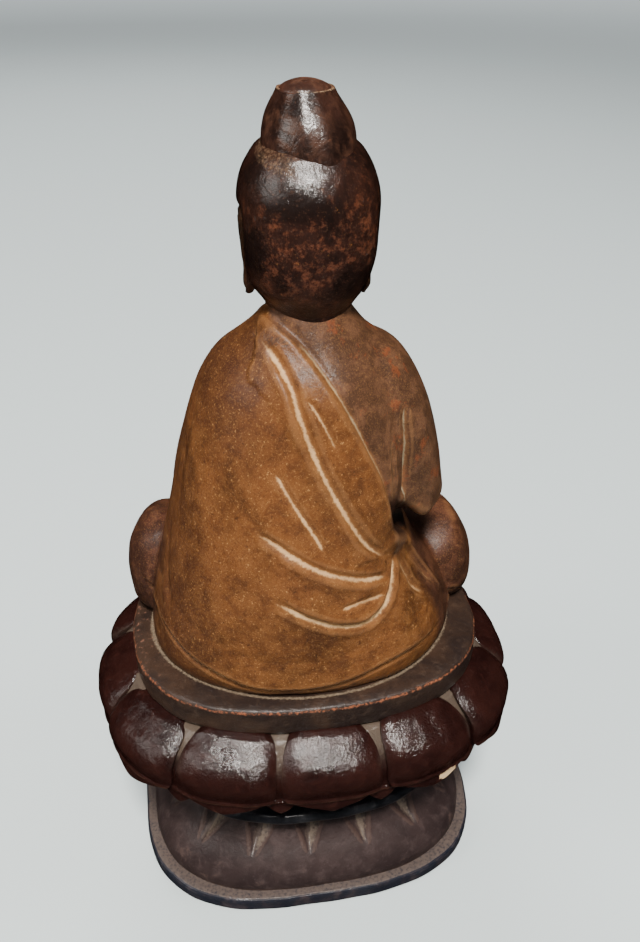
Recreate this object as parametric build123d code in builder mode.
"""Seated buddha on a lotus throne: a carved, joined-block wooden figure that lifts off a lotus
throne, which lifts off a low fluted pedestal. Millimetres, +Z up, the figure faces -Y, and the
origin is the middle of the footprint on the surface that the pedestal stands on."""

import os
from math import cos, pi, sin

from build123d import *

# ---- driving dimensions -------------------------------------------------------------------

# pedestal
foot_half_width = 65.9
foot_half_depth = 55.9
foot_height = 6.5
foot_edge = 1.0
ledge_width = 3.8
foot_squareness = 2.9
tongue_height = 31.5
tongue_tip_height = 10.5
tongue_count = 16
tongue_relief = 2.2
valley_shift = -0.25
valley_share = 0.22
neck_half_width = 42.0
neck_half_depth = 35.0
waist_half_width = 55.1
waist_half_depth = 48.6
waist_height = 4.5
oval_squareness = 2.45

# lotus throne
core_height = 42.5
core_foot_half_width = 46.0
core_foot_half_depth = 38.5
seat_half_width = 62.5
seat_half_depth = 48.5
seat_height = 11.2
seat_edge = 1.6
core_inset = 2.4
petal_count = 12
petal_swell = 16.0
petal_drop = 23.5
petal_shoulder = 8.0
petal_gap = 0.3
petal_root_share = 0.64
upper_peg_drop = 4.0
lower_peg_drop = 12.5
lower_petal_width = 25.0
lower_petal_root = 6.5
lower_petal_drop = 2.0

# figure
hem_half_width = 55.0
hem_half_depth = 42.0
figure_height = 122.5
elbow_height = 51.0
shoulder_half_width = 42.5
side_joint_x = 28.0
lap_joint_y = -6.0
lap_joint_height = 42.0
knee_half_width = 63.0
hip_height = 48.5
sleeve_gap = 8.0

# head
head_half_width = 18.5
head_half_depth = 20.5
head_height = 50.0
head_y = 3.0
head_sink = 4.5
ear_length = 30.0
ear_thickness = 3.2
ear_depth = 9.0
ear_share = 0.38
nose_share = 0.5
nose_radii = (1.4, 2.4)
neck_y = 5.0
neck_tenon_depth = 8.0
neck_tenon_radius = 9.5
elbow_x = 38.0
elbow_y = -7.0
elbow_radius = 9.0
wrist_x = 12.0
wrist_y = -30.0
wrist_height = 30.5
wrist_radius = 6.3
hand_lift = 7.0
topknot_radius = 13.6
topknot_height = 13.8
topknot_sink = 3.0
topknot_peg_depth = 8.0
jewel_radius = 6.0
jewel_height = 6.0
jewel_sink = 1.0

# pegs, dowels and the consecration cavity
dowel_radius = 2.5
dowel_length = 16.0
pedestal_dowel_x = 25.0
pedestal_dowel_y = 20.0
side_dowel_y = 18.0
side_dowel_heights = (16.0, 70.0)
lap_dowel_x = 16.0
lap_dowel_height = 14.0
petal_peg_radius = 1.0
petal_peg_length = 9.0
peg_set_back = 7.5
lower_peg_set_back = 10.0
peg_edge = 0.6
locating_peg_radius = 3.0
locating_peg_rise = 8.0
locating_peg_front_y = -26.0
locating_peg_back_y = 31.0
loose_gap = 0.3
cavity_radius = 11.0
cavity_depth = 60.0
cavity_y = 10.0
plug_height = 6.0
spigot_radius = 15.0
spigot_rise = 8.0
spigot_root = 12.0
spigot_edge = 1.0
socket_spare = 1.0

# ---- heights worked out from them ----------------------------------------------------------

foot_top = foot_height
tongue_top = foot_top + tongue_height
waist_top = tongue_top + waist_height
core_top = waist_top + core_height
seat_top = core_top + seat_height
elbow_z = seat_top + elbow_height
neck_z = seat_top + figure_height
head_bottom = neck_z - head_sink
head_top = head_bottom + head_height
topknot_z = head_top - topknot_sink
jewel_z = topknot_z + topknot_height - jewel_sink


def oval_points(half_width, half_depth, squareness, count=24):
    """Points of a superellipse, counter-clockwise from +X."""
    points = []
    for step in range(count):
        turn = 2 * pi * step / count
        c, s = cos(turn), sin(turn)
        x = half_width * abs(c) ** (2 / squareness) * (1 if c >= 0 else -1)
        y = half_depth * abs(s) ** (2 / squareness) * (1 if s >= 0 else -1)
        points.append((x, y))
    return points


def oval(z, half_width, half_depth, middle_y=0.0, squareness=oval_squareness):
    """A level superelliptic sketch at height z."""
    with BuildSketch(Plane((0, middle_y, z))) as outline:
        with BuildLine():
            Spline(*oval_points(half_width, half_depth, squareness), periodic=True)
        make_face()
    return outline.sketch


def disc(plane, radius):
    """A round sketch on a plane."""
    with BuildSketch(plane) as outline:
        Circle(radius)
    return outline.sketch


def ring_stations(half_width, half_depth, count, shift=0.0):
    """Planes evenly spaced round an oval, from the middle of the back (+Y).
    Each has x along the rim, y up and z outwards."""
    points = oval_points(half_width, half_depth, oval_squareness)
    line = Edge.make_spline([Vector(x, y, 0) for x, y in points], periodic=True)
    back = 0.25
    stations = []
    for step in range(count):
        distance = (back + (step + shift) / count) % 1.0 * line.length
        spot = line.position_at(distance, position_mode=PositionMode.LENGTH)
        along = line.tangent_at(distance, position_mode=PositionMode.LENGTH)
        outward = along.cross(Vector(0, 0, 1))
        stations.append(Plane(origin=spot, x_dir=along, z_dir=outward))
    return stations


# ---- pedestal ------------------------------------------------------------------------------

tongue_foot_half_width = foot_half_width - ledge_width
tongue_foot_half_depth = foot_half_depth - ledge_width
tongue_tip_z = foot_top + tongue_tip_height
valley_sections = [
    (foot_top, tongue_foot_half_width, tongue_foot_half_depth),
    (foot_top + 0.4 * tongue_tip_height, tongue_foot_half_width - 0.6, tongue_foot_half_depth - 0.6),
    (tongue_tip_z, tongue_foot_half_width - 5.0, tongue_foot_half_depth - 5.0),
    (foot_top + 0.62 * tongue_height, neck_half_width + 4.0, neck_half_depth + 4.0),
    (tongue_top, neck_half_width, neck_half_depth),
]
proud_sections = [
    (z, w + (tongue_relief if z > tongue_tip_z else 0), d + (tongue_relief if z > tongue_tip_z else 0))
    for z, w, d in valley_sections
]
# pins that hold the foot board, the fluted block and the waist board together
dowel_span = 2 * min(foot_height - 2.0, waist_height - 1.5)
pedestal_dowel_spots = [(i * pedestal_dowel_x, j * pedestal_dowel_y) for i in (-1, 1) for j in (-1, 1)]
foot_dowel_spots = [(x, y, foot_top) for x, y in pedestal_dowel_spots]
waist_dowel_spots = [(x, y, tongue_top) for x, y in pedestal_dowel_spots]

with BuildPart() as foot_board:
    extrude(oval(0, foot_half_width, foot_half_depth, squareness=foot_squareness), amount=foot_height)
    chamfer(foot_board.edges().group_by(Axis.Z)[-1], foot_edge)
    with Locations(*foot_dowel_spots):
        Cylinder(dowel_radius, dowel_span, mode=Mode.SUBTRACT)


# a V valley between two tongues: a point low down, opening upwards
valley_pitch = pi * (neck_half_width + neck_half_depth) / tongue_count
valley_half_width = valley_share * valley_pitch
with BuildPart() as valley_cutters:
    for station in ring_stations(neck_half_width, neck_half_depth, tongue_count, valley_shift):
        with BuildSketch(station):
            with BuildLine():
                Polyline(
                    (0, tongue_tip_z),
                    (valley_half_width, tongue_top),
                    (-valley_half_width, tongue_top),
                    close=True,
                )
            make_face()
        extrude(amount=foot_half_width)

with BuildPart() as fluted_block:
    loft([oval(z, w, d, squareness=foot_squareness) for z, w, d in proud_sections])
    add(valley_cutters.part, mode=Mode.SUBTRACT)
    loft([oval(z, w, d, squareness=foot_squareness) for z, w, d in valley_sections])
    with Locations(*foot_dowel_spots, *waist_dowel_spots):
        Cylinder(dowel_radius, dowel_span, mode=Mode.SUBTRACT)
    with Locations((0, 0, tongue_top - spigot_root / 2)):
        Cylinder(spigot_radius, spigot_root, mode=Mode.SUBTRACT)

with BuildPart() as waist_board:
    extrude(oval(tongue_top, waist_half_width, waist_half_depth), amount=waist_height)
    fillet(waist_board.edges(), waist_height / 3)
    with Locations(*waist_dowel_spots):
        Cylinder(dowel_radius, dowel_span, mode=Mode.SUBTRACT)
    with Locations((0, 0, tongue_top + waist_height / 2)):
        Cylinder(spigot_radius, waist_height, mode=Mode.SUBTRACT)

# a round spigot glued into the pedestal; the throne drops over it
with BuildPart() as throne_spigot:
    with Locations((0, 0, tongue_top + (waist_height + spigot_rise - spigot_root) / 2)):
        Cylinder(spigot_radius, spigot_root + waist_height + spigot_rise)
    chamfer(throne_spigot.edges().group_by(Axis.Z)[-1], spigot_edge)

with BuildPart() as pedestal_dowels:
    with Locations(*foot_dowel_spots, *waist_dowel_spots):
        Cylinder(dowel_radius, dowel_span)

# ---- lotus throne --------------------------------------------------------------------------

core_sections = [
    (waist_top, core_foot_half_width, core_foot_half_depth),
    (waist_top + 13.5, core_foot_half_width + 4.0, core_foot_half_depth + 2.5),
    (waist_top + 27.5, core_foot_half_width + 9.0, core_foot_half_depth + 5.0),
    (core_top, seat_half_width - core_inset, seat_half_depth - core_inset),
]
# rings of petals: (height under the seat, flare beyond the core's top), widest low down
upper_inner_ring = [(27.0, 7.5), (19.0, 6.0), (10.0, 3.0), (0.0, -0.5)]
upper_outer_ring = [(27.0, 14.0), (21.0, petal_swell), (13.0, petal_swell), (5.0, 9.5), (0.0, 4.0)]


def petal_ring(ring, inset=0.0):
    """A loft through a ring's sections; depths flare nearly as much as widths."""
    top_width = seat_half_width - core_inset
    top_depth = seat_half_depth - core_inset
    return loft(
        [
            oval(core_top - below, top_width + flare - inset, top_depth + 0.95 * flare - inset)
            for below, flare in ring
        ]
    )


with BuildPart() as throne_core_solid:
    loft([oval(z, w, d) for z, w, d in core_sections])

with BuildPart() as upper_ring_solid:
    petal_ring(upper_outer_ring)

with BuildPart() as upper_inner_solid:
    petal_ring(upper_inner_ring)

with BuildPart() as lower_outer_solid:
    petal_ring(upper_inner_ring, petal_gap)

upper_stations = ring_stations(seat_half_width, seat_half_depth, petal_count)
lower_stations = ring_stations(seat_half_width, seat_half_depth, petal_count, 0.5)
upper_peg_z = core_top - upper_peg_drop
lower_peg_z = core_top - lower_peg_drop


def peg_plane(station, z, radius_back):
    """The plane at the inner end of a petal's peg."""
    spot = station.origin + Vector(0, 0, z) - station.z_dir * radius_back
    return Plane(origin=spot, x_dir=station.x_dir, z_dir=station.z_dir)


upper_peg_planes = [peg_plane(station, upper_peg_z, peg_set_back) for station in upper_stations]
lower_peg_planes = [peg_plane(station, lower_peg_z, lower_peg_set_back) for station in lower_stations]
petal_peg_planes = upper_peg_planes + lower_peg_planes

with BuildPart() as petal_pegs:
    for peg_end in petal_peg_planes:
        extrude(disc(peg_end, petal_peg_radius), amount=petal_peg_length)

# two upright pegs through the seat board hold the figure square
figure_peg_spots = [(0, locating_peg_front_y), (0, locating_peg_back_y)]
figure_peg_root = seat_height + 4.0
figure_peg_length = figure_peg_root + locating_peg_rise

with BuildPart() as figure_pegs:
    for x, y in figure_peg_spots:
        with Locations((x, y, seat_top - figure_peg_root + figure_peg_length / 2)):
            Cylinder(locating_peg_radius, figure_peg_length)
    chamfer(figure_pegs.edges().group_by(Axis.Z)[-1], peg_edge)

with BuildPart() as lotus_core:
    add(throne_core_solid.part)
    add(petal_pegs.part, mode=Mode.SUBTRACT)
    add(figure_pegs.part, mode=Mode.SUBTRACT)
    with Locations((0, 0, waist_top + (spigot_rise + socket_spare) / 2)):
        Cylinder(spigot_radius + loose_gap, spigot_rise + socket_spare, mode=Mode.SUBTRACT)

with BuildPart() as seat_board:
    extrude(oval(core_top, seat_half_width, seat_half_depth), amount=seat_height)
    fillet(seat_board.edges().group_by(Axis.Z)[-1], seat_edge)
    add(figure_pegs.part, mode=Mode.SUBTRACT)

# ---- petals --------------------------------------------------------------------------------

petal_pitch = pi * (seat_half_width + seat_half_depth) / petal_count
upper_tip_z = core_top - petal_drop
lower_tip_z = upper_tip_z - lower_petal_drop
lower_top_z = core_top - lower_petal_root
# the rings are wider than the seat rim that the pitch is measured on
upper_half_width = petal_root_share * petal_pitch


def petal_prism(station, half_width, tip, top):
    """A pointed petal outline pushed outwards through the rings."""
    shoulder = tip + petal_shoulder
    with BuildSketch(station.offset(-petal_pitch / 2)) as outline:
        with BuildLine():
            Polyline(
                (-half_width, shoulder),
                (-half_width, top),
                (half_width, top),
                (half_width, shoulder),
            )
            Spline((half_width, shoulder), (0.5 * half_width, tip + 0.42 * petal_shoulder), (0, tip))
            Spline((0, tip), (-0.5 * half_width, tip + 0.42 * petal_shoulder), (-half_width, shoulder))
        make_face()
    return outline.sketch


def cut_to_sector(middle):
    """Keeps what lies between the planes half a petal either side of a petal's middle, which is
    counted in petals from the back."""
    for side, inward in ((-0.5, 1), (0.5, -1)):
        edge = ring_stations(seat_half_width, seat_half_depth, petal_count, middle + side)[0]
        normal = edge.x_dir * inward
        split(bisect_by=Plane(origin=edge.origin + normal * petal_gap / 2, z_dir=normal), keep=Keep.TOP)


def cut_peg_hole(peg_end):
    """The hole for a petal's peg."""
    extrude(disc(peg_end, petal_peg_radius), amount=petal_peg_length, mode=Mode.SUBTRACT)


upper_petals = []
for number, station in enumerate(upper_stations):
    with BuildPart() as upper_petal:
        extrude(petal_prism(station, upper_half_width, upper_tip_z, core_top), amount=2 * petal_pitch)
        cut_to_sector(number)
        add(upper_ring_solid.part, mode=Mode.INTERSECT)
        add(upper_inner_solid.part, mode=Mode.SUBTRACT)
        add(throne_core_solid.part, mode=Mode.SUBTRACT)
        cut_peg_hole(upper_peg_planes[number])
    upper_petals.append(upper_petal.part)

lower_petals = []
for number, station in enumerate(lower_stations):
    with BuildPart() as lower_petal:
        half_width = lower_petal_width / 2
        extrude(petal_prism(station, half_width, lower_tip_z, lower_top_z), amount=2 * petal_pitch)
        cut_to_sector(number + 0.5)
        add(lower_outer_solid.part, mode=Mode.INTERSECT)
        add(throne_core_solid.part, mode=Mode.SUBTRACT)
        cut_peg_hole(lower_peg_planes[number])
    lower_petals.append(lower_petal.part)

# ---- the figure's outer shape ---------------------------------------------------------------

# trunk: (height over the seat, half width, back, front)
trunk_sections = [
    (0.0, hem_half_width, hem_half_depth, -30.0),
    (24.0, 52.0, 45.0, -20.0),
    (54.0, 47.0, 43.0, -18.0),
    (76.0, shoulder_half_width, 39.0, -20.0),
    (94.0, 37.5, 34.5, -16.0),
    (108.0, 29.0, 28.0, -10.0),
    (figure_height - 6.0, 17.0, 20.0, -5.0),
    (figure_height, 13.6, 16.5, -7.5),
]
# folded legs, from the right knee to the left: (x, middle y, middle height over the seat, depth, rise)
leg_sections = [
    (-knee_half_width, -16.0, 12.0, 4.0, 6.0),
    (-0.96 * knee_half_width, -17.0, 14.0, 11.0, 14.0),
    (-0.84 * knee_half_width, -18.5, 16.0, 18.0, 20.5),
    (-0.5 * knee_half_width, -20.0, 13.0, 25.0, 17.0),
    (0.0, -20.0, 11.0, 25.0, 13.5),
    (0.5 * knee_half_width, -20.0, 13.0, 25.0, 17.0),
    (0.84 * knee_half_width, -18.5, 18.0, 18.0, 22.0),
    (0.96 * knee_half_width, -17.0, 17.0, 11.0, 15.0),
    (knee_half_width, -16.0, 16.0, 4.0, 7.0),
]


def upright_oval(x, middle_y, middle_z, half_depth, half_rise):
    """An ellipse standing across the x axis."""
    with BuildSketch(Plane(origin=(x, middle_y, middle_z), x_dir=(0, 1, 0), z_dir=(1, 0, 0))) as outline:
        Ellipse(half_depth, half_rise)
    return outline.sketch


def round_limb(start, end, start_radius, end_radius):
    """A tapering round limb with rounded ends."""
    axis = Vector(*end) - Vector(*start)
    with BuildPart() as limb:
        loft(
            [
                disc(Plane(origin=start, z_dir=axis), start_radius),
                disc(Plane(origin=end, z_dir=axis), end_radius),
            ]
        )
        with Locations(start):
            Sphere(start_radius)
        with Locations(end):
            Sphere(end_radius)
    return limb.part


with BuildPart() as figure_shape:
    loft(
        [
            oval(seat_top + up, half_width, (back - front) / 2, (back + front) / 2, squareness=2.2)
            for up, half_width, back, front in trunk_sections
        ]
    )
    loft([upright_oval(x, y, seat_top + up, depth, rise) for x, y, up, depth, rise in leg_sections])
    split(bisect_by=Plane.XY.offset(seat_top), keep=Keep.TOP)

# ---- its blocks: the planes x = +-side_joint_x, y = lap_joint_y and the lap's top ------------

lap_joint_z = seat_top + lap_joint_height
hip_top_z = seat_top + hip_height - sleeve_gap
sleeve_bottom_z = seat_top + hip_height
front_plane = Plane(origin=(0, lap_joint_y, 0), z_dir=(0, -1, 0))

# dowels across the side joints: (y, height over the seat)
side_dowel_spots = [(side_dowel_y, up) for up in side_dowel_heights]
lap_dowel_z = seat_top + lap_dowel_height

with BuildPart() as block_dowels:
    for side in (-1, 1):
        for y, up in side_dowel_spots:
            with Locations(Location((side * side_joint_x, y, seat_top + up), (0, 90, 0))):
                Cylinder(dowel_radius, dowel_length)
    for x in (-lap_dowel_x, lap_dowel_x):
        with Locations(Location((x, lap_joint_y, lap_dowel_z), (90, 0, 0))):
            Cylinder(dowel_radius, dowel_length)

# the neck's socket and the bore under the figure
neck_tenon_z = neck_z - neck_tenon_depth
peg_hole_depth = locating_peg_rise + socket_spare

with BuildPart() as peg_holes:
    with Locations(*[(x, y, seat_top + peg_hole_depth / 2) for x, y in figure_peg_spots]):
        Cylinder(locating_peg_radius + loose_gap, peg_hole_depth)

with BuildPart() as neck_tenon:
    with Locations((0, neck_y, neck_tenon_z + (neck_tenon_depth + 1.0) / 2)):
        Cylinder(neck_tenon_radius, neck_tenon_depth + 1.0)

with BuildPart() as cavity_bore:
    with Locations((0, cavity_y, seat_top + cavity_depth / 2)):
        Cylinder(cavity_radius, cavity_depth)

with BuildPart() as solid_blocks:
    add(figure_shape.part)
    for taken in (block_dowels, peg_holes, neck_tenon, cavity_bore):
        add(taken.part, mode=Mode.SUBTRACT)

right_plane = Plane(origin=(-side_joint_x, 0, 0), z_dir=(-1, 0, 0))
left_plane = Plane(origin=(side_joint_x, 0, 0), z_dir=(1, 0, 0))

with BuildPart() as lap_block:
    add(solid_blocks.part)
    split(bisect_by=front_plane, keep=Keep.TOP)
    split(bisect_by=Plane.XY.offset(lap_joint_z), keep=Keep.BOTTOM)

with BuildPart() as trunk_blocks:
    add(solid_blocks.part)
    add(lap_block.part, mode=Mode.SUBTRACT)

with BuildPart() as torso_block:
    add(trunk_blocks.part)
    split(bisect_by=left_plane, keep=Keep.BOTTOM)
    split(bisect_by=right_plane, keep=Keep.BOTTOM)

with BuildPart() as left_side_block:
    add(trunk_blocks.part)
    split(bisect_by=left_plane, keep=Keep.TOP)

with BuildPart() as right_arm_block:
    add(trunk_blocks.part)
    split(bisect_by=right_plane, keep=Keep.TOP)
    split(bisect_by=Plane.XY.offset(sleeve_bottom_z), keep=Keep.TOP)

with BuildPart() as right_hip_block:
    add(trunk_blocks.part)
    split(bisect_by=right_plane, keep=Keep.TOP)
    split(bisect_by=Plane.XY.offset(hip_top_z), keep=Keep.BOTTOM)

with BuildPart() as cavity_plug:
    with Locations((0, cavity_y, seat_top + plug_height / 2)):
        Cylinder(cavity_radius, plug_height)

# ---- forearms and hands, laid in the lap -----------------------------------------------------

wrist_z = seat_top + wrist_height
left_elbow = (elbow_x, elbow_y, elbow_z)
right_elbow = (-elbow_x, elbow_y, elbow_z)
left_wrist = (wrist_x, wrist_y, wrist_z)
right_wrist = (-wrist_x, wrist_y, wrist_z + hand_lift)
# a hand from its wrist to its fingertips: (x, y, height over the wrist, depth, thickness)
hand_sections = [
    (wrist_x, wrist_y, 0.0, wrist_radius - 0.8, wrist_radius - 1.6),
    (0.3 * wrist_x, wrist_y - 2.0, -1.5, 8.5, 4.4),
    (-0.6 * wrist_x, wrist_y - 3.0, -2.5, 8.0, 3.4),
    (-1.2 * wrist_x, wrist_y - 3.0, -2.5, 5.0, 2.2),
]

with BuildPart() as left_hand:
    loft([upright_oval(x, y, wrist_z + up, deep, thick) for x, y, up, deep, thick in hand_sections])
    add(figure_shape.part, mode=Mode.SUBTRACT)

with BuildPart() as right_hand:
    loft(
        [
            upright_oval(-x, y, wrist_z + hand_lift + up, deep, thick)
            for x, y, up, deep, thick in hand_sections
        ]
    )
    add(figure_shape.part, mode=Mode.SUBTRACT)
    add(left_hand.part, mode=Mode.SUBTRACT)

with BuildPart() as left_forearm:
    add(round_limb(left_elbow, left_wrist, elbow_radius, wrist_radius))
    for taken in (figure_shape, left_hand, right_hand):
        add(taken.part, mode=Mode.SUBTRACT)

with BuildPart() as right_forearm:
    add(round_limb(right_elbow, right_wrist, elbow_radius, wrist_radius))
    for taken in (figure_shape, left_hand, right_hand):
        add(taken.part, mode=Mode.SUBTRACT)

# ---- head ------------------------------------------------------------------------------------

with BuildPart() as topknot_peg:
    with Locations((0, head_y, topknot_z)):
        Cylinder(dowel_radius, 2 * topknot_peg_depth)

with BuildPart() as topknot_jewel:
    with BuildSketch(Plane((0, head_y, jewel_z), x_dir=(1, 0, 0), z_dir=(0, -1, 0))):
        with BuildLine():
            Spline(
                (0, 0),
                (jewel_radius, jewel_height / 2),
                (0, jewel_height),
                tangents=((1, 0), (-1, 0)),
            )
            Line((0, jewel_height), (0, 0))
        make_face()
    revolve(axis=Axis((0, head_y, 0), (0, 0, 1)))

topknot_profile = [(0.0, 0.78), (0.2, 0.96), (0.45, 1.0), (0.7, 0.92), (0.93, 0.62), (1.0, 0.4)]
with BuildPart() as topknot:
    loft(
        [
            disc(Plane((0, head_y, topknot_z + share * topknot_height)), width * topknot_radius)
            for share, width in topknot_profile
        ]
    )
    add(topknot_jewel.part, mode=Mode.SUBTRACT)
    add(topknot_peg.part, mode=Mode.SUBTRACT)

# share of the head's height, then of its half width and half depth, and a shift forwards
head_profile = [
    (0.0, 0.64, 0.58, -2.0),
    (0.1, 0.65, 0.6, -1.2),
    (0.18, 0.76, 0.76, 0.5),
    (0.3, 0.9, 0.92, 1.0),
    (0.48, 1.0, 1.0, 0.5),
    (0.66, 1.0, 1.0, 0.0),
    (0.82, 0.88, 0.9, -0.5),
    (0.94, 0.64, 0.66, -0.8),
    (1.0, 0.3, 0.32, -0.8),
]
ear_z = head_bottom + ear_share * head_height
nose_z = head_bottom + nose_share * head_height
face_y = head_y - head_half_depth
with BuildPart() as head:
    loft(
        [
            oval(
                head_bottom + share * head_height,
                width * head_half_width,
                depth * head_half_depth,
                head_y - forward,
                squareness=2.0,
            )
            for share, width, depth, forward in head_profile
        ]
    )
    split(bisect_by=Plane.XY.offset(neck_z), keep=Keep.TOP)
    add(neck_tenon.part)
    for side in (-1, 1):
        ear_inner = side * (head_half_width - ear_thickness / 2)
        with BuildSketch(Plane(origin=(ear_inner, head_y, ear_z), x_dir=(0, 1, 0), z_dir=(side, 0, 0))):
            Ellipse(ear_depth / 2, ear_length / 2)
        extrude(amount=ear_thickness)
    add(round_limb((0, face_y + 1.5, nose_z + 3.0), (0, face_y, nose_z - 4.0), *nose_radii))
    add(topknot.part, mode=Mode.SUBTRACT)
    add(topknot_peg.part, mode=Mode.SUBTRACT)

# ---- files -----------------------------------------------------------------------------------

pieces = {
    "foot_board": foot_board.part,
    "fluted_block": fluted_block.part,
    "waist_board": waist_board.part,
    "throne_spigot": throne_spigot.part,
    "pedestal_dowels": pedestal_dowels.part,
    "lotus_core": lotus_core.part,
    "seat_board": seat_board.part,
    "petal_pegs": petal_pegs.part,
    "figure_pegs": figure_pegs.part,
    "lap_block": lap_block.part,
    "torso_block": torso_block.part,
    "left_side_block": left_side_block.part,
    "right_arm_block": right_arm_block.part,
    "right_hip_block": right_hip_block.part,
    "block_dowels": block_dowels.part,
    "cavity_plug": cavity_plug.part,
    "left_forearm": left_forearm.part,
    "right_forearm": right_forearm.part,
    "left_hand": left_hand.part,
    "right_hand": right_hand.part,
    "head": head.part,
    "topknot": topknot.part,
    "topknot_peg": topknot_peg.part,
    "topknot_jewel": topknot_jewel.part,
}
for number, shape in enumerate(upper_petals, start=1):
    pieces[f"upper_petal_{number:02d}"] = shape
for number, shape in enumerate(lower_petals, start=1):
    pieces[f"lower_petal_{number:02d}"] = shape

os.makedirs("parts", exist_ok=True)
for name, shape in pieces.items():
    shape.label = name
    export_step(shape, f"parts/{name}.step")
